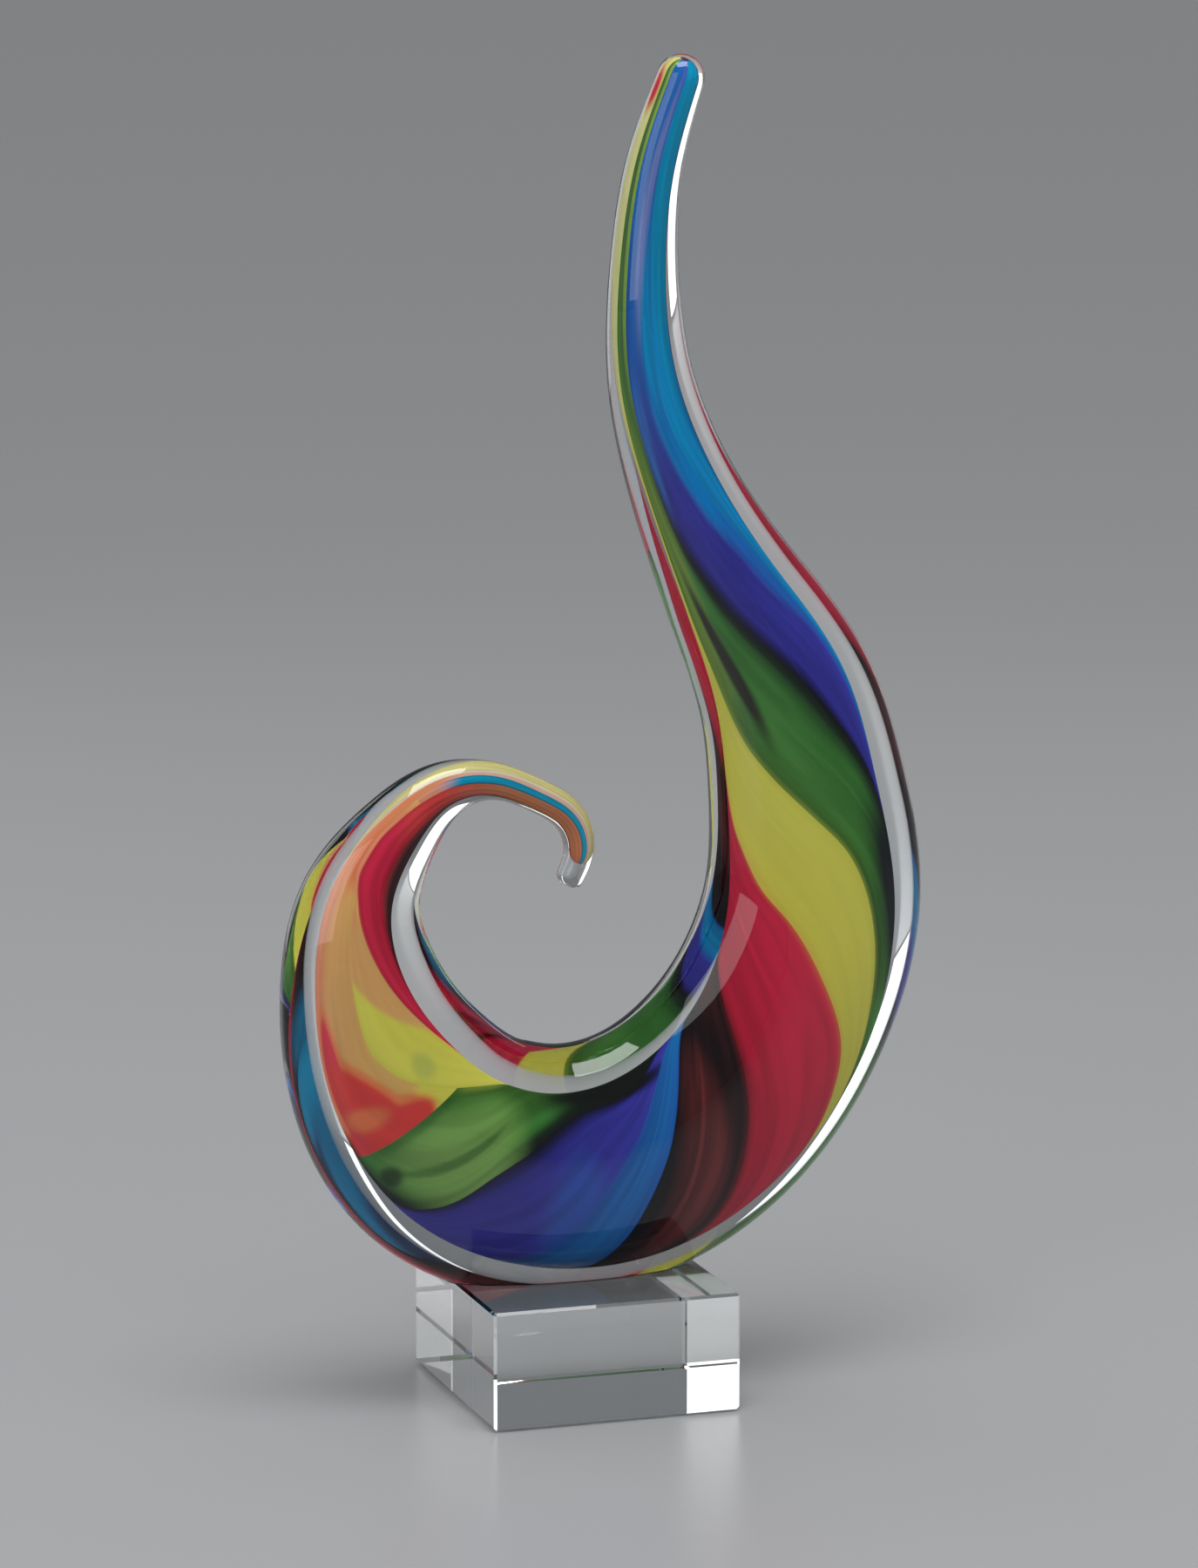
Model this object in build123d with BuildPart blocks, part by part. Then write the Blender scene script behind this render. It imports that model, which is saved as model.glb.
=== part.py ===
from build123d import *
import os
from math import degrees, sqrt

import numpy as np

# Glass wave sculpture: a hooked form of clear glass with twisted bands of colour sealed inside it, ground flat
# under its belly and bonded to a cut crystal block. The origin is the middle of the block's underside, X runs
# along the block's front face, Y points to the back and Z is up. Millimetres and degrees.

# Crystal block
block_width = 75.0
block_depth = 80.0
block_height = 35.0
block_bevel = 0.8

# Clear adhesive under the ground flat
bond_thickness = 0.2

# The sculpture, from the tail tip to the hook tip. Each station has the place of the centre line, across and up
# from the middle of the ground flat, then the casing's width and depth, then the colour core's width, depth and
# shift towards the outer edge of the bend.
stations = [
    (32.0, 349.5, 14.0, 14.0, 8.0, 8.0, -0.5),
    (24.5, 327.0, 16.5, 16.5, 9.0, 9.0, -0.5),
    (21.0, 297.0, 20.0, 19.0, 10.5, 10.5, -1.0),
    (23.0, 263.0, 25.5, 22.0, 13.0, 12.0, -1.0),
    (34.0, 229.0, 33.0, 25.5, 17.0, 14.0, -0.5),
    (50.0, 198.0, 43.5, 30.0, 25.0, 17.0, -1.0),
    (65.0, 169.0, 54.0, 34.0, 34.5, 19.5, -1.7),
    (72.0, 139.0, 61.0, 37.0, 39.5, 21.5, -2.2),
    (73.5, 107.0, 67.5, 40.0, 44.5, 24.0, -0.8),
    (63.5, 76.0, 71.0, 42.0, 47.0, 25.5, 2.0),
    (46.0, 52.0, 74.0, 43.0, 48.0, 26.0, 3.0),
    (20.0, 35.0, 75.5, 44.0, 48.0, 26.5, 3.0),
    (-10.0, 31.0, 75.5, 44.0, 45.5, 26.5, 2.0),
    (-36.0, 40.0, 73.5, 43.0, 42.0, 25.5, 1.0),
    (-55.0, 62.0, 64.5, 39.0, 34.0, 22.0, 1.0),
    (-65.0, 89.0, 49.5, 33.0, 22.5, 16.0, 1.0),
    (-65.0, 115.0, 36.5, 27.0, 15.0, 12.0, 0.5),
    (-54.0, 134.0, 25.5, 21.5, 10.5, 9.5, 0.5),
    (-40.0, 146.0, 17.0, 16.0, 7.5, 7.5, 0.5),
    (-26.0, 148.0, 11.5, 11.5, 6.5, 6.5, 0.5),
    (-11.0, 142.5, 10.0, 10.0, 6.0, 6.0, 0.5),
    (-1.5, 135.5, 10.0, 10.0, 5.5, 5.5, 0.5),
    (1.0, 125.0, 9.0, 9.0, 4.5, 4.5, 0.5),
    (-3.0, 116.0, 8.0, 8.0, 4.0, 4.0, 0.0),
]
hook_tip_round = 2.5
hook_tip_clear = 7.0
fit_clearance = 0.15

# Spacing of the sections that the forms are lofted through. Sections are closer at a loft's ends, and a rounded
# end has sections at these shares of its radius. The slope step sets how a section's direction is measured.
section_spacing = 5.0
end_steps = [0.0, 1.0, 2.5, 5.0]
round_shares = [0.25, 0.5, 0.7, 0.85, 0.95]
slope_step = 0.01

# Colour bands round the core, as thick as a share of its radius. Each line between two colours is given by its
# angle at places along the centre line. Angles go from the outer edge of the bend over the front face to the
# inner edge, and a whole turn back where the twist has carried a line round the core.
thickness_share = 0.25
azure_line = [
    (0.0, 84.0),
    (50.0, 86.0),
    (95.0, 84.0),
    (125.0, 60.0),
    (150.0, 38.0),
    (175.0, 24.0),
    (200.0, 15.0),
    (225.0, 2.0),
    (250.0, -30.0),
    (275.0, -80.0),
    (300.0, -133.0),
    (325.0, -190.0),
    (348.0, -240.0),
    (362.0, -270.0),
    (375.0, -315.0),
    (387.0, -358.0),
    (400.0, -385.0),
    (425.0, -400.0),
    (450.0, -388.0),
    (475.0, -380.0),
    (500.0, -365.0),
    (515.0, -342.0),
    (530.0, -320.0),
    (545.0, -304.0),
    (565.0, -300.0),
    (592.0, -310.0),
]
cobalt_line = [
    (0.0, 140.0),
    (50.0, 144.0),
    (100.0, 150.0),
    (125.0, 148.0),
    (150.0, 123.0),
    (175.0, 90.0),
    (200.0, 57.0),
    (222.0, 20.0),
    (250.0, -10.0),
    (275.0, -50.0),
    (300.0, -100.0),
    (320.0, -160.0),
    (335.0, -192.0),
    (350.0, -205.0),
    (366.0, -210.0),
    (375.0, -220.0),
    (385.0, -240.0),
    (397.0, -272.0),
    (405.0, -318.0),
    (412.0, -358.0),
    (424.0, -382.0),
]
green_line = [
    (0.0, 163.0),
    (50.0, 171.0),
    (100.0, 183.0),
    (130.0, 186.0),
    (155.0, 182.0),
    (175.0, 171.0),
    (190.0, 159.0),
    (200.0, 147.0),
    (212.0, 125.0),
    (225.0, 97.0),
    (240.0, 67.0),
    (260.0, 46.0),
    (280.0, 30.0),
    (300.0, 10.0),
    (325.0, -28.0),
    (350.0, -78.0),
    (375.0, -130.0),
    (400.0, -170.0),
    (418.0, -212.0),
    (430.0, -248.0),
    (440.0, -274.0),
    (450.0, -287.0),
    (475.0, -290.0),
    (488.0, -294.0),
    (498.0, -320.0),
    (506.0, -322.0),
    (515.0, -312.0),
    (530.0, -305.0),
    (545.0, -290.0),
    (556.0, -283.0),
    (567.0, -282.0),
    (592.0, -298.0),
]
yellow_line = [
    (0.0, 235.0),
    (50.0, 235.0),
    (75.0, 225.0),
    (100.0, 208.0),
    (130.0, 204.0),
    (160.0, 206.0),
    (185.0, 207.0),
    (200.0, 203.0),
    (225.0, 180.0),
    (237.0, 161.0),
    (250.0, 141.0),
    (262.0, 113.0),
    (275.0, 85.0),
    (290.0, 49.0),
    (300.0, 32.0),
    (315.0, 6.0),
    (330.0, -20.0),
    (350.0, -52.0),
    (375.0, -94.0),
    (400.0, -132.0),
    (425.0, -172.0),
    (440.0, -196.0),
    (450.0, -211.0),
    (464.0, -235.0),
    (475.0, -256.0),
    (488.0, -286.0),
    (498.0, -311.0),
    (506.0, -313.0),
    (515.0, -301.0),
    (530.0, -274.0),
    (545.0, -254.0),
    (556.0, -249.0),
    (567.0, -250.0),
    (592.0, -266.0),
]
red_line = [
    (0.0, 350.0),
    (50.0, 352.0),
    (100.0, 346.0),
    (125.0, 338.0),
    (150.0, 327.0),
    (175.0, 312.0),
    (200.0, 292.0),
    (225.0, 264.0),
    (250.0, 234.0),
    (275.0, 198.0),
    (288.0, 168.0),
    (300.0, 136.0),
    (312.0, 101.0),
    (325.0, 67.0),
    (337.0, 33.0),
    (346.0, 7.0),
    (360.0, -28.0),
    (375.0, -60.0),
    (400.0, -99.0),
    (425.0, -135.0),
    (450.0, -174.0),
    (475.0, -207.0),
    (487.0, -224.0),
    (500.0, -244.0),
    (508.0, -245.0),
    (518.0, -230.0),
    (530.0, -209.0),
    (550.0, -180.0),
    (570.0, -172.0),
    (592.0, -172.0),
]
plum_line = [
    (0.0, 373.0),
    (50.0, 374.0),
    (100.0, 371.0),
    (125.0, 362.0),
    (150.0, 354.0),
    (175.0, 349.0),
    (200.0, 343.0),
    (225.0, 330.0),
    (250.0, 300.0),
    (275.0, 257.0),
    (300.0, 209.0),
    (325.0, 145.0),
    (340.0, 107.0),
    (353.0, 72.0),
    (363.0, 33.0),
    (371.0, -5.0),
    (385.0, -48.0),
    (400.0, -75.0),
    (425.0, -92.0),
    (450.0, -86.0),
    (475.0, -76.0),
]
umber_line = [
    (470.0, -122.0),
    (500.0, -110.0),
    (525.0, -86.0),
    (550.0, -70.0),
    (592.0, -65.0),
]

# Distances along the centre line where cobalt and green run out, where azure and plum run out, and where yellow
# gives way to cyan.
cool_end = 424.0
dark_end = 475.0
yellow_end = 521.0

ground_flat = block_height + bond_thickness


def curve_through(places, values):
    """The natural cubic curve through the values, as a function of the place."""
    gaps = np.diff(places)
    slopes = np.diff(values) / gaps
    equations = np.eye(len(places))
    turns = np.zeros(len(places))
    for i in range(1, len(places) - 1):
        equations[i, i - 1 : i + 2] = gaps[i - 1], 2 * (gaps[i - 1] + gaps[i]), gaps[i]
        turns[i] = 6 * (slopes[i] - slopes[i - 1])
    bends = np.linalg.solve(equations, turns)

    def value_at(place):
        i = int(np.clip(np.searchsorted(places, place) - 1, 0, len(gaps) - 1))
        after = (place - places[i]) / gaps[i]
        before = 1 - after
        bow = (before**3 - before) * bends[i] + (after**3 - after) * bends[i + 1]
        return before * values[i] + after * values[i + 1] + bow * gaps[i] ** 2 / 6

    return value_at


def line_through(points):
    """The smooth curve through places and angles that doesn't swing past them, as a function of the place."""
    places, angles = np.array(points).T
    gaps = np.diff(places)
    rates = np.diff(angles) / gaps
    slopes = np.concatenate([rates[:1], np.zeros(len(rates) - 1), rates[-1:]])
    for i in range(1, len(rates)):
        if rates[i - 1] * rates[i] > 0:
            first_weight = 2 * gaps[i] + gaps[i - 1]
            last_weight = gaps[i] + 2 * gaps[i - 1]
            slopes[i] = (first_weight + last_weight) / (first_weight / rates[i - 1] + last_weight / rates[i])

    def angle_at(place):
        i = int(np.clip(np.searchsorted(places, place) - 1, 0, len(gaps) - 1))
        share = np.clip((place - places[i]) / gaps[i], 0, 1)
        rise = angles[i + 1] - angles[i]
        start = gaps[i] * slopes[i]
        end = gaps[i] * slopes[i + 1]
        return angles[i] + share * (start + share * (3 * rise - 2 * start - end + share * (start + end - 2 * rise)))

    return angle_at


columns = np.array(stations).T
steps = np.hypot(np.diff(columns[0]), np.diff(columns[1]))
station_places = np.concatenate([[0.0], np.cumsum(steps)])
across, up, width, depth, core_width, core_depth, core_shift = [
    curve_through(station_places, column) for column in columns
]

casing_length = station_places[-1]
round_start = casing_length - hook_tip_round
core_end = casing_length - hook_tip_clear
tail_radius = width(0.0) / 2
core_tip_radius = core_width(0.0) / 2


def section_plane(place):
    """The plane across the centre line: X to the outer edge of the bend, Y to the front."""
    run = across(place + slope_step) - across(place - slope_step)
    rise = up(place + slope_step) - up(place - slope_step)
    return Plane(
        origin=(across(place), 0, ground_flat + up(place)),
        x_dir=(-rise, 0, run),
        z_dir=(run, 0, rise),
    )


def core_taper(place):
    """How far the core's round tail end and hook end have grown to its full section."""
    if place < 0:
        return sqrt(1 - (place / core_tip_radius) ** 2)
    past = place - (core_end - core_tip_radius)
    if past > 0:
        return sqrt(1 - (past / core_tip_radius) ** 2)
    return 1.0


def section_places(start, end):
    """Section places from start to end along the centre line, closer at both ends."""
    reach = end_steps[-1]
    count = round((end - start - 2 * reach) / section_spacing)
    places = [start + step for step in end_steps[:-1]]
    places += list(np.linspace(start + reach, end - reach, count))
    return places + [end - step for step in reversed(end_steps[:-1])]


def core_places(start, end):
    """Section places along the core from start to end, with its round ends where it reaches them."""
    body_start = max(start, 0.0)
    body_end = min(end, core_end - core_tip_radius)
    places = section_places(body_start, body_end)
    if start < body_start:
        places = [-core_tip_radius * share for share in reversed(round_shares)] + places
    if end > body_end:
        places += [body_end + core_tip_radius * share for share in round_shares]
    return places


def oval_section(place, centre, x_radius, y_radius):
    """An oval face across the centre line, as four quarter arcs."""
    with BuildSketch(section_plane(place)) as section:
        with BuildLine():
            for quarter in (0, 90, 180, 270):
                EllipticalCenterArc((centre, 0), x_radius, y_radius, quarter, arc_size=90)
        make_face()
    return section.sketch


def casing_section(place):
    """The casing's oval face across the centre line, drawn in where the hook tip rounds over."""
    past = max(place - round_start, 0.0)
    inset = hook_tip_round - sqrt(hook_tip_round**2 - past**2)
    return oval_section(place, 0, width(place) / 2 - inset, depth(place) / 2 - inset)


def core_radii(place, share):
    """A share of the core's half width and half depth."""
    grown = core_taper(place) * share / 2
    return grown * core_width(place), grown * core_depth(place)


def band_section(place, start_angle, end_angle):
    """A band's curved face across the centre line, between two angles."""
    outer_x, outer_y = core_radii(place, 1.0)
    inner_x, inner_y = core_radii(place, 1 - thickness_share)
    gap = degrees(fit_clearance / 2 / min(outer_x, outer_y))
    start = start_angle + gap
    reach = end_angle - gap - start
    centre = (core_shift(place), 0)
    with BuildSketch(section_plane(place)) as section:
        with BuildLine():
            outer = EllipticalCenterArc(centre, outer_x, outer_y, start, arc_size=reach)
            inner = EllipticalCenterArc(centre, inner_x, inner_y, start, arc_size=reach)
            Line(outer @ 0, inner @ 0)
            Line(outer @ 1, inner @ 1)
        make_face()
    return section.sketch


def core_section(place, share, clearance):
    """An oval face across the centre line, a clearance outside a share of the core."""
    x_radius, y_radius = core_radii(place, share)
    return oval_section(place, core_shift(place), x_radius + clearance, y_radius + clearance)


os.makedirs("parts", exist_ok=True)

# Crystal block: cut square, with a fine polished bevel on every edge
with BuildPart() as base_block:
    with BuildSketch():
        Rectangle(block_width, block_depth)
    extrude(amount=block_height)
    chamfer(base_block.edges(), block_bevel)
base_block.part.label = "base_block"
export_step(base_block.part, "parts/base_block.step")

# Space inside the casing that the colour core fills
whole_core = core_places(-core_tip_radius, core_end)
with BuildPart() as core_space:
    loft([core_section(place, 1.0, fit_clearance) for place in whole_core])

# Clear casing: an oval section lofted along the centre line, with a domed tail tip, a blunt rounded hook tip and
# a flat ground under the belly
casing_places = section_places(0.0, round_start)
casing_places += [round_start + hook_tip_round * share for share in round_shares]
tail_plane = section_plane(0.0)
with BuildPart() as clear_casing:
    loft([casing_section(place) for place in casing_places])
    with BuildSketch(Plane(tail_plane.origin, x_dir=tail_plane.x_dir, z_dir=tail_plane.y_dir)):
        with BuildLine():
            CenterArc((0, 0), tail_radius, 0, 90)
            Line((0, tail_radius), (0, 0))
            Line((0, 0), (tail_radius, 0))
        make_face()
    revolve(axis=Axis(tail_plane.origin, tail_plane.z_dir))
    split(bisect_by=Plane.XY.offset(ground_flat), keep=Keep.TOP)
    add(core_space.part, mode=Mode.SUBTRACT)
clear_casing.part.label = "clear_casing"
export_step(clear_casing.part, "parts/clear_casing.step")

# Adhesive film: the outline of the ground flat, down to the block
with BuildPart() as bond_film:
    extrude(clear_casing.faces().filter_by(Axis.Z).sort_by(Axis.Z)[0], amount=bond_thickness)
bond_film.part.label = "bond_film"
export_step(bond_film.part, "parts/bond_film.step")

# Clear gather inside the colours
with BuildPart() as core_gather:
    loft([core_section(place, 1 - thickness_share, -fit_clearance) for place in whole_core])
core_gather.part.label = "core_gather"
export_step(core_gather.part, "parts/core_gather.step")

# Colour bands: each lies on the gather between two colour lines, from one place to another
first_azure_line = [(place, angle + 360) for place, angle in azure_line]
bands = {
    "cobalt_band": (azure_line, cobalt_line, -core_tip_radius, cool_end),
    "green_band": (cobalt_line, green_line, -core_tip_radius, cool_end),
    "coral_band": (azure_line, green_line, cool_end, core_end),
    "yellow_band": (green_line, yellow_line, -core_tip_radius, yellow_end),
    "cyan_band": (green_line, yellow_line, yellow_end, core_end),
    "red_band": (yellow_line, red_line, -core_tip_radius, core_end),
    "plum_band": (red_line, plum_line, -core_tip_radius, dark_end),
    "umber_band": (red_line, umber_line, dark_end, core_end),
    "azure_band": (plum_line, first_azure_line, -core_tip_radius, dark_end),
    "gold_band": (umber_line, first_azure_line, dark_end, core_end),
}
for name, (first_line, last_line, start, end) in bands.items():
    first_angle = line_through(first_line)
    last_angle = line_through(last_line)
    sections = [band_section(p, first_angle(p), last_angle(p)) for p in core_places(start, end)]
    with BuildPart() as band:
        loft(sections)
    band.part.label = name
    export_step(band.part, f"parts/{name}.step")
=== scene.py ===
import math

import bmesh
import bpy
import numpy as np
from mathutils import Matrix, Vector


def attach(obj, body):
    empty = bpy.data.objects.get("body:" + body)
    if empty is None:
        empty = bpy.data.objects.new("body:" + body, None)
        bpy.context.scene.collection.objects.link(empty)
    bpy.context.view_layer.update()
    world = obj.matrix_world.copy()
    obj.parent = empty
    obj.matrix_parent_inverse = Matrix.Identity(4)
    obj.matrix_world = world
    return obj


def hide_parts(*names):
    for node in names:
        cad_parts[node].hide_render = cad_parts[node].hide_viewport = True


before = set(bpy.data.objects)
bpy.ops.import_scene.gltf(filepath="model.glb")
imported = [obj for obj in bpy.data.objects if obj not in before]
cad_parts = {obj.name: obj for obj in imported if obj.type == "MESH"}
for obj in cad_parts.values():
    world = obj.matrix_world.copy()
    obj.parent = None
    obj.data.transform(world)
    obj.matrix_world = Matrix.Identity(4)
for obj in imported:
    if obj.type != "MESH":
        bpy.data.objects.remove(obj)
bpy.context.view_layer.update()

# Glass wave sculpture on a crystal block. Lengths below are millimetres and angles are degrees, as in the
# part's source, and meshes are written in metres.
MM = 0.001
ground_flat = 35.2

# Stations from the tail tip to the hook tip: across, up from the ground flat, casing width and depth, then
# the colour core's width, depth and shift towards the outer edge of the bend.
stations = [
    (32.0, 349.5, 14.0, 14.0, 8.0, 8.0, -0.5),
    (24.5, 327.0, 16.5, 16.5, 9.0, 9.0, -0.5),
    (21.0, 297.0, 20.0, 19.0, 10.5, 10.5, -1.0),
    (23.0, 263.0, 25.5, 22.0, 13.0, 12.0, -1.0),
    (34.0, 229.0, 33.0, 25.5, 17.0, 14.0, -0.5),
    (50.0, 198.0, 43.5, 30.0, 25.0, 17.0, -1.0),
    (65.0, 169.0, 54.0, 34.0, 34.5, 19.5, -1.7),
    (72.0, 139.0, 61.0, 37.0, 39.5, 21.5, -2.2),
    (73.5, 107.0, 67.5, 40.0, 44.5, 24.0, -0.8),
    (63.5, 76.0, 71.0, 42.0, 47.0, 25.5, 2.0),
    (46.0, 52.0, 74.0, 43.0, 48.0, 26.0, 3.0),
    (20.0, 35.0, 75.5, 44.0, 48.0, 26.5, 3.0),
    (-10.0, 31.0, 75.5, 44.0, 45.5, 26.5, 2.0),
    (-36.0, 40.0, 73.5, 43.0, 42.0, 25.5, 1.0),
    (-55.0, 62.0, 64.5, 39.0, 34.0, 22.0, 1.0),
    (-65.0, 89.0, 49.5, 33.0, 22.5, 16.0, 1.0),
    (-65.0, 115.0, 36.5, 27.0, 15.0, 12.0, 0.5),
    (-54.0, 134.0, 25.5, 21.5, 10.5, 9.5, 0.5),
    (-40.0, 146.0, 17.0, 16.0, 7.5, 7.5, 0.5),
    (-26.0, 148.0, 11.5, 11.5, 6.5, 6.5, 0.5),
    (-11.0, 142.5, 10.0, 10.0, 6.0, 6.0, 0.5),
    (-1.5, 135.5, 10.0, 10.0, 5.5, 5.5, 0.5),
    (1.0, 125.0, 9.0, 9.0, 4.5, 4.5, 0.5),
    (-3.0, 116.0, 8.0, 8.0, 4.0, 4.0, 0.0),
]
hook_tip_round = 2.5
hook_tip_clear = 7.0

# The casing's mesh is set in by this much so that it stays inside the solid casing's box.
skin = 0.03

# Thickness of the colour bands as a share of the core's radius.
thickness_share = 0.25

# Lines between the colours, as in the part's source: places along the centre line and angles, from the
# outer edge of the bend over the front to the inner edge.
azure_line = [
    (0.0, 84.0),
    (50.0, 86.0),
    (95.0, 84.0),
    (125.0, 60.0),
    (150.0, 38.0),
    (175.0, 24.0),
    (200.0, 15.0),
    (225.0, 2.0),
    (250.0, -30.0),
    (275.0, -80.0),
    (300.0, -133.0),
    (325.0, -190.0),
    (348.0, -240.0),
    (362.0, -270.0),
    (375.0, -315.0),
    (387.0, -358.0),
    (400.0, -385.0),
    (425.0, -400.0),
    (450.0, -388.0),
    (475.0, -380.0),
    (500.0, -365.0),
    (515.0, -342.0),
    (530.0, -320.0),
    (545.0, -304.0),
    (565.0, -300.0),
    (592.0, -310.0),
]
cobalt_line = [
    (0.0, 140.0),
    (50.0, 144.0),
    (100.0, 150.0),
    (125.0, 148.0),
    (150.0, 123.0),
    (175.0, 90.0),
    (200.0, 57.0),
    (222.0, 20.0),
    (250.0, -10.0),
    (275.0, -50.0),
    (300.0, -100.0),
    (320.0, -160.0),
    (335.0, -192.0),
    (350.0, -205.0),
    (366.0, -210.0),
    (375.0, -220.0),
    (385.0, -240.0),
    (397.0, -272.0),
    (405.0, -318.0),
    (412.0, -358.0),
    (424.0, -382.0),
]
green_line = [
    (0.0, 163.0),
    (50.0, 171.0),
    (100.0, 183.0),
    (130.0, 186.0),
    (155.0, 182.0),
    (175.0, 171.0),
    (190.0, 159.0),
    (200.0, 147.0),
    (212.0, 125.0),
    (225.0, 97.0),
    (240.0, 67.0),
    (260.0, 46.0),
    (280.0, 30.0),
    (300.0, 10.0),
    (325.0, -28.0),
    (350.0, -78.0),
    (375.0, -130.0),
    (400.0, -170.0),
    (418.0, -212.0),
    (430.0, -248.0),
    (440.0, -274.0),
    (450.0, -287.0),
    (475.0, -290.0),
    (488.0, -294.0),
    (498.0, -320.0),
    (506.0, -322.0),
    (515.0, -312.0),
    (530.0, -305.0),
    (545.0, -290.0),
    (556.0, -283.0),
    (567.0, -282.0),
    (592.0, -298.0),
]
yellow_line = [
    (0.0, 235.0),
    (50.0, 235.0),
    (75.0, 225.0),
    (100.0, 208.0),
    (130.0, 204.0),
    (160.0, 206.0),
    (185.0, 207.0),
    (200.0, 203.0),
    (225.0, 180.0),
    (237.0, 161.0),
    (250.0, 141.0),
    (262.0, 113.0),
    (275.0, 85.0),
    (290.0, 49.0),
    (300.0, 32.0),
    (315.0, 6.0),
    (330.0, -20.0),
    (350.0, -52.0),
    (375.0, -94.0),
    (400.0, -132.0),
    (425.0, -172.0),
    (440.0, -196.0),
    (450.0, -211.0),
    (464.0, -235.0),
    (475.0, -256.0),
    (488.0, -286.0),
    (498.0, -311.0),
    (506.0, -313.0),
    (515.0, -301.0),
    (530.0, -274.0),
    (545.0, -254.0),
    (556.0, -249.0),
    (567.0, -250.0),
    (592.0, -266.0),
]
red_line = [
    (0.0, 350.0),
    (50.0, 352.0),
    (100.0, 346.0),
    (125.0, 338.0),
    (150.0, 327.0),
    (175.0, 312.0),
    (200.0, 292.0),
    (225.0, 264.0),
    (250.0, 234.0),
    (275.0, 198.0),
    (288.0, 168.0),
    (300.0, 136.0),
    (312.0, 101.0),
    (325.0, 67.0),
    (337.0, 33.0),
    (346.0, 7.0),
    (360.0, -28.0),
    (375.0, -60.0),
    (400.0, -99.0),
    (425.0, -135.0),
    (450.0, -174.0),
    (475.0, -207.0),
    (487.0, -224.0),
    (500.0, -244.0),
    (508.0, -245.0),
    (518.0, -230.0),
    (530.0, -209.0),
    (550.0, -180.0),
    (570.0, -172.0),
    (592.0, -172.0),
]
plum_line = [
    (0.0, 373.0),
    (50.0, 374.0),
    (100.0, 371.0),
    (125.0, 362.0),
    (150.0, 354.0),
    (175.0, 349.0),
    (200.0, 343.0),
    (225.0, 330.0),
    (250.0, 300.0),
    (275.0, 257.0),
    (300.0, 209.0),
    (325.0, 145.0),
    (340.0, 107.0),
    (353.0, 72.0),
    (363.0, 33.0),
    (371.0, -5.0),
    (385.0, -48.0),
    (400.0, -75.0),
    (425.0, -92.0),
    (450.0, -86.0),
    (475.0, -76.0),
]
umber_line = [
    (470.0, -122.0),
    (500.0, -110.0),
    (525.0, -86.0),
    (550.0, -70.0),
    (592.0, -65.0),
]

# Places along the centre line where the colours of the belly give way to those of the hook.
cool_end = 424.0
dark_end = 475.0
yellow_end = 521.0


def curve_through(places, values):
    """The natural cubic curve through the values, as a function of an array of places."""
    gaps = np.diff(places)
    slopes = np.diff(values) / gaps
    equations = np.eye(len(places))
    turns = np.zeros(len(places))
    for i in range(1, len(places) - 1):
        equations[i, i - 1 : i + 2] = gaps[i - 1], 2 * (gaps[i - 1] + gaps[i]), gaps[i]
        turns[i] = 6 * (slopes[i] - slopes[i - 1])
    bends = np.linalg.solve(equations, turns)

    def value_at(place):
        i = np.clip(np.searchsorted(places, place) - 1, 0, len(gaps) - 1)
        after = (place - places[i]) / gaps[i]
        before = 1 - after
        bow = (before**3 - before) * bends[i] + (after**3 - after) * bends[i + 1]
        return before * values[i] + after * values[i + 1] + bow * gaps[i] ** 2 / 6

    return value_at


def line_through(points):
    """The smooth curve through places and angles that doesn't swing past them, for an array of places."""
    places, angles = np.array(points).T
    gaps = np.diff(places)
    rates = np.diff(angles) / gaps
    slopes = np.concatenate([rates[:1], np.zeros(len(rates) - 1), rates[-1:]])
    for i in range(1, len(rates)):
        if rates[i - 1] * rates[i] > 0:
            first_weight = 2 * gaps[i] + gaps[i - 1]
            last_weight = gaps[i] + 2 * gaps[i - 1]
            slopes[i] = (first_weight + last_weight) / (first_weight / rates[i - 1] + last_weight / rates[i])

    def angle_at(place):
        i = np.clip(np.searchsorted(places, place) - 1, 0, len(gaps) - 1)
        share = np.clip((place - places[i]) / gaps[i], 0, 1)
        rise = angles[i + 1] - angles[i]
        start = gaps[i] * slopes[i]
        end = gaps[i] * slopes[i + 1]
        square = 3 * rise - 2 * start - end
        cube = start + end - 2 * rise
        return angles[i] + share * (start + share * (square + share * cube))

    return angle_at


columns = np.array(stations).T
steps = np.hypot(np.diff(columns[0]), np.diff(columns[1]))
station_places = np.concatenate([[0.0], np.cumsum(steps)])
across, up, width, depth, core_width, core_depth, core_shift = [
    curve_through(station_places, column) for column in columns
]
casing_length = station_places[-1]
core_end = casing_length - hook_tip_clear
tail_radius = width(0.0) / 2
core_tip_radius = core_width(0.0) / 2


def spine(places):
    """Centre points, outward directions and forward directions at places along the centre line."""
    step = 0.01
    run = across(places + step) - across(places - step)
    rise = up(places + step) - up(places - step)
    length = np.hypot(run, rise)
    flat = np.zeros_like(run)
    centre = np.stack([across(places), flat, ground_flat + up(places)], -1)
    outward = np.stack([-rise / length, flat, run / length], -1)
    forward = np.stack([run / length, flat, rise / length], -1)
    return centre, outward, forward


def ring_points(centre, outward, x_radius, y_radius, angles):
    """Oval rings of points: angle 0 is the outer edge of the bend and 90 is the front."""
    turn = np.radians(angles)
    out = centre[:, None] + outward[:, None] * (x_radius[:, None] * np.cos(turn))[..., None]
    out[..., 1] -= y_radius[:, None] * np.sin(turn)
    return out


def grid_faces(rows, cols):
    """Quads between rows of points, where each row closes round on itself."""
    faces = []
    for r in range(rows - 1):
        a = r * cols
        for c in range(cols):
            d = (c + 1) % cols
            faces.append((a + c, a + d, a + cols + d, a + cols + c))
    return faces


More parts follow.
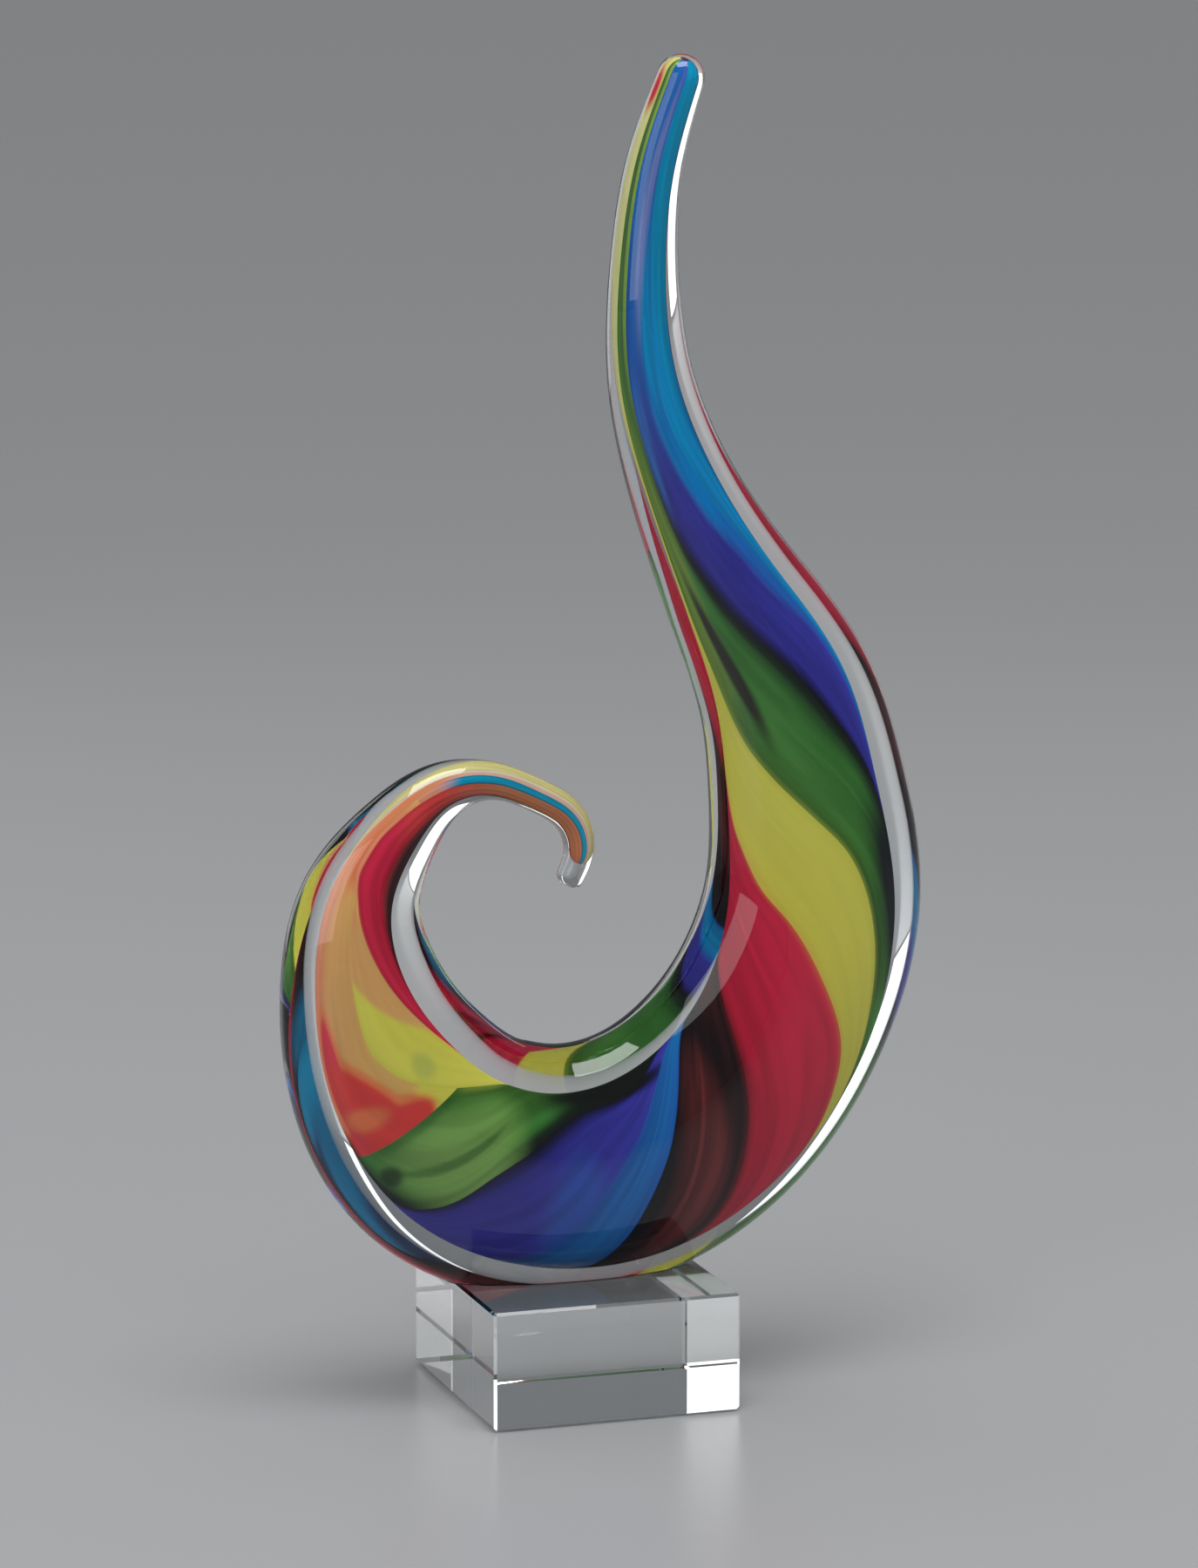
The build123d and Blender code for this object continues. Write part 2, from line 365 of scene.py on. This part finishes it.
def new_object(name, points, faces):
    """A smooth mesh object from points in millimetres."""
    mesh = bpy.data.meshes.new(name)
    mesh.from_pydata((np.asarray(points) * MM).tolist(), [], faces)
    mesh.polygons.foreach_set("use_smooth", [True] * len(mesh.polygons))
    piece = bpy.data.objects.new(name, mesh)
    bpy.context.scene.collection.objects.link(piece)
    return piece


def face_outwards(piece):
    """Turns a closed mesh's faces to point out."""
    bm = bmesh.new()
    bm.from_mesh(piece.data)
    bmesh.ops.recalc_face_normals(bm, faces=bm.faces)
    bm.to_mesh(piece.data)
    bm.free()


def make_casing():
    """Rings along the centre line, a domed tail, a blunt rounded hook tip and a flat cut under the belly."""
    ring_count = 128
    body_rows = 460
    angles = np.arange(ring_count) * 360 / ring_count
    body = np.linspace(0, casing_length - hook_tip_round, body_rows)
    centre, outward, forward = spine(body)
    rings = [ring_points(centre, outward, width(body) / 2 - skin, depth(body) / 2 - skin, angles)]
    for lift in (15, 30, 45, 58, 70, 80):
        back = tail_radius * math.sin(math.radians(lift))
        radius = np.array([tail_radius * math.cos(math.radians(lift)) - skin])
        start = centre[:1] - forward[:1] * back
        rings.insert(0, ring_points(start, outward[:1], radius, radius, angles))
    for lift in (15, 30, 45, 60, 75, 90):
        past = hook_tip_round * math.sin(math.radians(lift))
        place = np.array([casing_length - hook_tip_round + past])
        inset = hook_tip_round * (1 - math.cos(math.radians(lift)))
        end_centre, end_outward, _ = spine(place)
        x_radius = width(place) / 2 - inset - skin
        y_radius = depth(place) / 2 - inset - skin
        rings.append(ring_points(end_centre, end_outward, x_radius, y_radius, angles))
    points = np.concatenate(rings)
    rows = len(points)
    points = points.reshape(-1, 3)
    tail_pole = centre[0] - forward[0] * (tail_radius - skin)
    hook_pole = spine(np.array([casing_length]))[0][0]
    faces = grid_faces(rows, ring_count)
    last = (rows - 1) * ring_count
    for c in range(ring_count):
        d = (c + 1) % ring_count
        faces.append((len(points), d, c))
        faces.append((len(points) + 1, last + c, last + d))
    piece = new_object("casing_glass", np.vstack([points, tail_pole, hook_pole]), faces)
    bm = bmesh.new()
    bm.from_mesh(piece.data)
    bmesh.ops.recalc_face_normals(bm, faces=bm.faces)
    cut = bmesh.ops.bisect_plane(
        bm,
        geom=bm.verts[:] + bm.edges[:] + bm.faces[:],
        plane_co=(0, 0, ground_flat * MM),
        plane_no=(0, 0, 1),
        clear_inner=True,
    )
    rim = [e for e in cut["geom_cut"] if isinstance(e, bmesh.types.BMEdge)]
    for edge in rim:
        edge.smooth = False
    flat = bmesh.ops.edgeloop_fill(bm, edges=rim)["faces"]
    for face in flat:
        face.smooth = False
    bmesh.ops.recalc_face_normals(bm, faces=bm.faces)
    bm.to_mesh(piece.data)
    bm.free()
    return piece


def core_taper(places):
    """How far the core's round tail end and hook end have grown to the full section."""
    tail = np.clip(-places / core_tip_radius, 0, 1)
    hook = np.clip((places - core_end + core_tip_radius) / core_tip_radius, 0, 1)
    return np.sqrt(1 - np.maximum(tail, hook) ** 2)


def srgb(r, g, b):
    """A colour written as screen values from 0 to 255."""
    out = []
    for value in (r, g, b):
        c = value / 255
        out.append(c / 12.92 if c <= 0.04045 else ((c + 0.055) / 1.055) ** 2.4)
    return tuple(out)


# Dark colours look about this share of their own brightness through the casing, and white looks white.
under_glass = 0.45


def paint(stops, strokes, places, angles, share):
    """Colours over a band, a ramp across it and then soft oval strokes, lifted for the casing over them."""
    shares = [s for s, _ in stops]
    ramp = np.stack([np.interp(share, shares, [srgb(*c)[k] for _, c in stops]) for k in range(3)], -1)
    colour = np.broadcast_to(ramp, (*angles.shape, 3)).copy()
    for place, angle, length, breadth, slant, tint, strength, softness in strokes:
        off = places[:, None] - place
        turn = (angles - angle - slant * off + 180) % 360 - 180
        reach = np.hypot(off / length, turn / breadth)
        weight = np.clip((1 - reach) / softness + 0.5, 0, 1)
        weight = strength * weight**2 * (3 - 2 * weight)
        colour += weight[..., None] * (np.array(srgb(*tint)) - colour)
    return colour / (under_glass + (1 - under_glass) * colour)


def make_band(name, first_line, last_line, start, end, stops, strokes):
    """A curved slab of colour on the core between two colour lines, with its place and its paint stored."""
    row_spacing = 1.0
    cols = 49
    body_start = max(start, 0.0)
    body_end = min(end, core_end - core_tip_radius)
    places = np.linspace(body_start, body_end, round((body_end - body_start) / row_spacing))
    end_lifts = [20, 40, 58, 72]
    rounds = np.sin(np.radians(end_lifts)) * core_tip_radius
    if start < body_start:
        places = np.concatenate([-rounds[::-1], places])
    if end > body_end:
        places = np.concatenate([places, body_end + rounds])
    centre, outward, _ = spine(places)
    centre = centre + outward * core_shift(places)[:, None]
    first = line_through(first_line)(places)[:, None]
    last = line_through(last_line)(places)[:, None]
    share = np.linspace(0, 1, cols)
    angles = first + (last - first) * share
    x_radius = core_taper(places) * core_width(places) / 2
    y_radius = core_taper(places) * core_depth(places) / 2
    outer = ring_points(centre, outward, x_radius, y_radius, angles)
    thin = 1 - thickness_share
    inner = ring_points(centre, outward, x_radius * thin, y_radius * thin, angles)
    points = np.concatenate([outer, inner[:, ::-1]], axis=1)
    rows = len(places)
    faces = grid_faces(rows, 2 * cols)
    for row in (0, rows - 1):
        for c in range(cols - 1):
            a = row * 2 * cols
            faces.append((a + c, a + c + 1, a + 2 * cols - 2 - c, a + 2 * cols - 1 - c))
    piece = new_object(name, points.reshape(-1, 3), faces)
    along = piece.data.attributes.new("along", "FLOAT", "POINT")
    along.data.foreach_set("value", np.repeat(places, 2 * cols))
    over = piece.data.attributes.new("across", "FLOAT", "POINT")
    over.data.foreach_set("value", np.tile(np.concatenate([share, share[::-1]]), rows))
    colour = paint(stops, strokes, places, angles, share)
    colour = np.concatenate([colour, colour[:, ::-1]], axis=1).reshape(-1, 3)
    tints = piece.data.attributes.new("paint", "FLOAT_COLOR", "POINT")
    tints.data.foreach_set("color", np.hstack([colour, np.ones((len(colour), 1))]).ravel())
    face_outwards(piece)
    edge_angle = 50
    piece.data.set_sharp_from_angle(angle=math.radians(edge_angle))
    return piece


def glass(name, colour, ior, waves):
    """Clear polished glass with a faint waviness, in metres."""
    swells_per_metre = 24.0
    swell_height = 0.001
    material = bpy.data.materials.new(name)
    material.use_nodes = True
    tree = material.node_tree
    shader = tree.nodes["Principled BSDF"]
    shader.inputs["Base Color"].default_value = (*colour, 1)
    shader.inputs["Roughness"].default_value = 0.0
    shader.inputs["IOR"].default_value = ior
    shader.inputs["Transmission Weight"].default_value = 1.0
    place = tree.nodes.new("ShaderNodeTexCoord")
    swell = tree.nodes.new("ShaderNodeTexNoise")
    swell.inputs["Scale"].default_value = swells_per_metre
    swell.inputs["Detail"].default_value = 1.0
    tree.links.new(place.outputs["Object"], swell.inputs["Vector"])
    bump = tree.nodes.new("ShaderNodeBump")
    bump.inputs["Strength"].default_value = waves
    bump.inputs["Distance"].default_value = swell_height
    tree.links.new(swell.outputs["Fac"], bump.inputs["Height"])
    tree.links.new(bump.outputs["Normal"], shader.inputs["Normal"])
    return material


def colour_glass(name, streaks, dark):
    """Dense coloured glass: the band's paint, with fine darker streaks drawn out along it."""
    scale_along = 0.004
    darkest_at = 0.38
    lightest_at = 0.6
    material = bpy.data.materials.new(name)
    material.use_nodes = True
    tree = material.node_tree
    shader = tree.nodes["Principled BSDF"]
    shader.inputs["Roughness"].default_value = 0.6
    shader.inputs["Specular IOR Level"].default_value = 0.0
    tints = tree.nodes.new("ShaderNodeAttribute")
    tints.attribute_name = "paint"
    along = tree.nodes.new("ShaderNodeAttribute")
    along.attribute_name = "along"
    over = tree.nodes.new("ShaderNodeAttribute")
    over.attribute_name = "across"
    place = tree.nodes.new("ShaderNodeCombineXYZ")
    tree.links.new(along.outputs["Fac"], place.inputs[0])
    tree.links.new(over.outputs["Fac"], place.inputs[1])
    stretch = tree.nodes.new("ShaderNodeVectorMath")
    stretch.operation = "MULTIPLY"
    stretch.inputs[1].default_value = (scale_along, 1.0, 1.0)
    tree.links.new(place.outputs[0], stretch.inputs[0])
    streak = tree.nodes.new("ShaderNodeTexNoise")
    streak.inputs["Scale"].default_value = streaks
    streak.inputs["Detail"].default_value = 3.0
    streak.inputs["Distortion"].default_value = 0.4
    tree.links.new(stretch.outputs[0], streak.inputs["Vector"])
    shade = tree.nodes.new("ShaderNodeMapRange")
    shade.inputs["From Min"].default_value = darkest_at
    shade.inputs["From Max"].default_value = lightest_at
    shade.inputs["To Min"].default_value = 1 - dark
    shade.inputs["To Max"].default_value = 1.0
    tree.links.new(streak.outputs["Fac"], shade.inputs["Value"])
    tint = tree.nodes.new("ShaderNodeMix")
    tint.data_type = "RGBA"
    tint.blend_type = "MULTIPLY"
    tint.inputs["Factor"].default_value = 1.0
    tree.links.new(tints.outputs["Color"], tint.inputs["A"])
    tree.links.new(shade.outputs["Result"], tint.inputs["B"])
    tree.links.new(tint.outputs["Result"], shader.inputs["Base Color"])
    return material


clear_glass = glass("clear_glass", colour=(0.86, 0.88, 0.88), ior=1.5, waves=0.25)
crystal = glass("crystal", colour=(0.9, 0.92, 0.92), ior=1.52, waves=0.02)

casing = make_casing()
casing.data.materials.append(clear_glass)
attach(casing, "root")
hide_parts("clear_casing")

# Colour bands: the lines on both sides, start and end along the centre line, number and depth of the streaks.
tail = -core_tip_radius
next_azure_line = [(place, angle + 360) for place, angle in azure_line]
bands = {
    "azure": (plum_line, next_azure_line, tail, dark_end, 4, 0.25),
    "cobalt": (azure_line, cobalt_line, tail, cool_end, 7, 0.2),
    "green": (cobalt_line, green_line, tail, cool_end, 6, 0.25),
    "yellow": (green_line, yellow_line, tail, yellow_end, 6, 0.04),
    "red": (yellow_line, red_line, tail, core_end, 5, 0.22),
    "plum": (red_line, plum_line, tail, dark_end, 4, 0.6),
    "coral": (azure_line, green_line, cool_end, core_end, 6, 0.1),
    "cyan": (green_line, yellow_line, yellow_end, core_end, 6, 0.2),
    "umber": (red_line, umber_line, dark_end, core_end, 8, 0.5),
    "gold": (umber_line, next_azure_line, dark_end, core_end, 6, 0.2),
}

# Colours across each band, from its first line to its last.
ramps = {
    "azure": [
        (0.0, (8, 12, 30)),
        (0.12, (0, 90, 160)),
        (0.5, (0, 122, 192)),
        (0.85, (10, 105, 190)),
        (1.0, (25, 75, 170)),
    ],
    "cobalt": [
        (0.0, (30, 75, 175)),
        (0.12, (44, 44, 145)),
        (0.8, (38, 36, 128)),
        (0.93, (20, 18, 70)),
        (1.0, (8, 8, 25)),
    ],
    "green": [
        (0.0, (8, 10, 14)),
        (0.1, (14, 32, 18)),
        (0.25, (44, 100, 38)),
        (0.75, (54, 112, 42)),
        (0.93, (42, 80, 24)),
        (1.0, (105, 130, 42)),
    ],
    "yellow": [
        (0.0, (195, 190, 60)),
        (0.1, (212, 206, 68)),
        (0.85, (206, 200, 62)),
        (1.0, (212, 175, 62)),
    ],
    "red": [
        (0.0, (215, 80, 50)),
        (0.05, (200, 28, 54)),
        (0.5, (200, 24, 52)),
        (0.9, (172, 18, 44)),
        (1.0, (110, 12, 26)),
    ],
    "plum": [
        (0.0, (80, 14, 20)),
        (0.1, (20, 6, 9)),
        (0.35, (66, 22, 24)),
        (0.6, (44, 14, 18)),
        (0.85, (14, 8, 14)),
        (1.0, (4, 8, 20)),
    ],
    "coral": [
        (0.0, (225, 125, 98)),
        (0.25, (228, 112, 84)),
        (0.6, (218, 135, 78)),
        (1.0, (215, 150, 75)),
    ],
    "cyan": [
        (0.0, (0, 95, 140)),
        (0.3, (0, 140, 190)),
        (0.75, (0, 130, 180)),
        (1.0, (20, 40, 60)),
    ],
    "umber": [
        (0.0, (120, 36, 34)),
        (0.12, (48, 14, 22)),
        (0.6, (36, 12, 18)),
        (1.0, (60, 30, 20)),
    ],
    "gold": [
        (0.0, (150, 110, 50)),
        (0.4, (208, 190, 98)),
        (0.85, (220, 205, 120)),
        (1.0, (228, 198, 168)),
    ],
}

# Strokes on each band, some of them painted shade, highlights and a reflection: place, angle, length,
# breadth, slant, colour, strength and softness of the edge.
strokes = {
    "azure": [
        (348, 100, 42, 40, -2.9, (22, 78, 168), 0.8, 1.0),
        (400, -62, 36, 45, 0, (12, 16, 42), 0.9, 1.0),
        (452, -60, 18, 60, 0, (0, 115, 160), 0.8, 1.0),
        (432, -84, 12, 10, 0.3, (0, 122, 178), 0.9, 1.0),
        (414, -71, 26, 6, 0, (0, 112, 168), 0.8, 1.0),
        (10, 45, 70, 50, 0, (0, 135, 188), 0.8, 1.0),
        (110, 74, 60, 18, -0.5, (0, 122, 195), 1.0, 1.0),
    ],
    "cobalt": [
        (30, 120, 65, 38, -0.1, (20, 82, 170), 1.0, 1.0),
        (75, 96, 30, 12, 0, (0, 118, 190), 1.0, 1.0),
        (116, 80, 24, 17, -0.85, (0, 104, 190), 1.0, 1.0),
        (150, 46, 20, 12, -0.7, (10, 88, 180), 0.7, 1.0),
        # Painted reflection: a pale lavender streak down the tail where a soft box shows in the casing.
        (38, 104, 34, 11, 0.3, (104, 116, 186), 0.75, 1.0),
        (100, 140, 22, 10, 0.0, (20, 82, 170), 0.8, 1.0),
        (372, 70, 8, 40, -1.2, (24, 80, 175), 0.5, 1.0),
        # Painted shade: near-black on the cobalt at the belly's inner side, where it lies in shadow.
        (348, 160, 22, 9, 0.0, (8, 6, 12), 1.0, 1.0),
    ],
    "green": [
        (20, 147, 75, 7, 0.05, (118, 160, 52), 1.0, 1.0),
        (45, 158, 60, 4, 0.1, (62, 76, 58), 0.9, 1.0),
        (140, 165, 45, 16, -0.2, (98, 128, 44), 0.8, 1.0),
        (172, 142, 28, 8, -0.7, (26, 28, 16), 1.0, 0.8),
        (250, 15, 24, 26, -0.6, (12, 16, 20), 1.0, 1.0),
        (284, 10, 9, 20, -1.0, (60, 115, 45), 0.9, 1.0),
        # Painted shade: near-black, then dark green at its upper end, on the green at the belly's inner side,
        # where it lies in shadow.
        (350, 172, 44, 24, 0, (6, 9, 7), 1.0, 1.0),
        (396, 165, 12, 25, 0, (36, 70, 20), 0.7, 1.0),
        (408, 90, 15, 50, -1.2, (100, 148, 66), 0.9, 0.9),
        (409, 80, 9, 8, -5.2, (48, 90, 34), 0.7, 0.6),
        (417, 30, 2.5, 14, 0, (14, 34, 14), 0.9, 0.8),
        (424, 90, 2.5, 60, 0, (34, 78, 26), 0.7, 1.0),
    ],
    "yellow": [
        # Paler yellow on the tail: partly the glass's own paler yellow and partly a painted highlight.
        (40, 190, 60, 26, 0, (214, 212, 138), 0.8, 1.0),
        (5, 195, 7, 26, 0, (198, 30, 52), 1.0, 1.0),
        (437, 118, 4.5, 12, 0, (150, 165, 70), 0.7, 1.0),
        (471, 92, 26, 30, -2.7, (214, 142, 80), 1.0, 0.35),
        (504, 50, 20, 60, 0, (224, 112, 80), 1.0, 1.0),
    ],
    "red": [
        (525, 95, 14, 45, 0, (208, 55, 46), 0.6, 1.0),
        (563, 130, 28, 80, 0, (205, 104, 64), 1.0, 1.0),
        # Painted highlight: orange on the red near the tail tip.
        (15, 330, 22, 30, 0, (225, 110, 50), 0.7, 1.0),
    ],
    "plum": [
        (313, 150, 17, 45, -3.0, (10, 5, 8), 0.85, 1.0),
        (334, 88, 17, 26, -3.0, (98, 36, 36), 0.85, 1.0),
        (446, 212, 28, 34, -0.8, (184, 26, 50), 0.95, 0.8),
        (418, -108, 26, 10, -1.1, (170, 36, 58), 0.85, 1.0),
        (452, -92, 14, 12, 0.4, (0, 112, 165), 0.9, 1.0),
    ],
    "coral": [
        (468, 50, 16, 24, 0, (212, 142, 80), 0.9, 1.0),
        (502, 45, 9, 22, 0, (208, 45, 50), 0.8, 1.0),
        (490, 2, 22, 14, 0.4, (230, 128, 100), 0.8, 1.0),
        (560, 65, 34, 30, 0, (226, 165, 145), 0.9, 1.0),
        (514, 35, 20, 40, 0, (224, 102, 66), 0.7, 1.0),
        (424, 128, 9, 24, -2.5, (208, 200, 64), 1.0, 0.3),
        (427, 48, 8, 58, 0, (234, 98, 54), 1.0, 0.25),
        (442, 20, 20, 21, -0.3, (234, 98, 62), 1.0, 0.3),
        (436, 42, 14, 36, -1.7, (234, 98, 54), 1.0, 0.25),
        (426, 50, 6, 54, 0, (220, 42, 40), 1.0, 0.25),
        (442, 20, 17, 15, -0.3, (218, 36, 52), 1.0, 0.25),
        (435, 42, 12, 30, -1.7, (220, 42, 40), 1.0, 0.25),
        (432, 40, 3, 24, -2.0, (238, 104, 58), 0.7, 0.9),
        (424, -8, 7, 16, 0, (20, 22, 18), 0.9, 1.0),
        (424, -34, 22, 13, 0.45, (30, 55, 150), 1.0, 1.0),
    ],
    "cyan": [
        (521, 60, 9, 50, 0, (222, 124, 92), 1.0, 1.0),
    ],
    "umber": [],
    "gold": [],
}

# Tongues of dark, azure and gold glass where azure runs out into gold, on both bands.
run_out = [
    (475, -60, 12, 120, 0, (86, 138, 116), 1.0, 1.0),
    (476, -62, 24, 7, 0.2, (10, 112, 165), 0.85, 1.0),
    (472, -46, 22, 6, 0.2, (205, 190, 105), 0.75, 1.0),
    (478, -34, 26, 6, 0.2, (10, 112, 165), 0.8, 1.0),
    (475, -100, 22, 26, -0.6, (12, 8, 14), 1.0, 0.6),
]
strokes["azure"] += run_out
strokes["gold"] += run_out

for name, (first_line, last_line, start, end, streaks, dark) in bands.items():
    band = make_band(name + "_colour", first_line, last_line, start, end, ramps[name], strokes[name])
    band.data.materials.append(colour_glass(name + "_glass", streaks, dark))
    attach(band, "root")
    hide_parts(name + "_band")

for node in ("base_block", "core_gather", "bond_film"):
    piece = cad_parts[node]
    piece.data.materials.clear()
    piece.data.materials.append(crystal if node == "base_block" else clear_glass)

# Stage: a wide pale floor just under the block, soft boxes behind, in front and overhead, and an even room.
floor_reach = 9000.0
floor_level = -0.5
floor_corners = [(-1, -1), (1, -1), (1, 1), (-1, 1)]
floor_points = [(x * floor_reach, y * floor_reach, floor_level) for x, y in floor_corners]
floor = new_object("floor", floor_points, [(0, 1, 2, 3)])
floor_material = bpy.data.materials.new("floor")
floor_material.use_nodes = True
floor_shader = floor_material.node_tree.nodes["Principled BSDF"]
floor_shader.inputs["Base Color"].default_value = (*srgb(148, 149, 151), 1)
floor_shader.inputs["Roughness"].default_value = 0.3
floor.data.materials.append(floor_material)


def soft_box(name, place, target, size, power):
    """A rectangular soft light aimed at a point, in metres and watts."""
    lamp = bpy.data.lights.new(name, "AREA")
    lamp.shape = "RECTANGLE"
    lamp.size, lamp.size_y = size
    lamp.energy = power
    box = bpy.data.objects.new(name, lamp)
    box.location = place
    box.rotation_euler = (Vector(target) - Vector(place)).to_track_quat("-Z", "Y").to_euler()
    bpy.context.scene.collection.objects.link(box)


soft_box("box_right", (0.96, 0.95, 0.5), (0, 0, 0.2), (0.1, 1.0), 0.38)
soft_box("box_left", (-0.6, 1.29, 0.5), (0, 0, 0.2), (0.66, 1.0), 2.7)
soft_box("box_front", (-1.4, -1.42, 0.95), (0, 0, 0.2), (1.0, 1.4), 8)
soft_box("box_top", (0.0, -0.4, 1.6), (0, 0, 0.15), (1.0, 0.6), 14)

# The room lights the colours evenly, and the glass and the camera see a dimmer grey wall.
world = bpy.data.worlds.new("room")
world.use_nodes = True
tree = world.node_tree
light = tree.nodes["Background"]
light.inputs["Color"].default_value = (1.0, 1.0, 1.0, 1)
light.inputs["Strength"].default_value = 0.95
wall = tree.nodes.new("ShaderNodeBackground")
wall.inputs["Color"].default_value = (*srgb(118, 120, 123), 1)
path = tree.nodes.new("ShaderNodeLightPath")
pick = tree.nodes.new("ShaderNodeMixShader")
tree.links.new(path.outputs["Diffuse Depth"], pick.inputs["Fac"])
tree.links.new(wall.outputs[0], pick.inputs[1])
tree.links.new(light.outputs[0], pick.inputs[2])
tree.links.new(pick.outputs[0], tree.nodes["World Output"].inputs["Surface"])
bpy.context.scene.world = world

# Camera at the photo's viewing angle, to the left of the block's front face and above it.
camera_turn = 18.22
camera_rise = 10.11
camera_data = bpy.data.cameras.new("camera")
camera_data.lens = 140.0
camera_data.sensor_width = 36.0
camera = bpy.data.objects.new("camera", camera_data)
camera.location = (-0.5396, -1.6615, 0.4923)
camera.rotation_euler = (math.radians(90 - camera_rise), 0, math.radians(-camera_turn))
bpy.context.scene.collection.objects.link(camera)
bpy.context.scene.camera = camera

bpy.context.scene.view_settings.view_transform = "Standard"
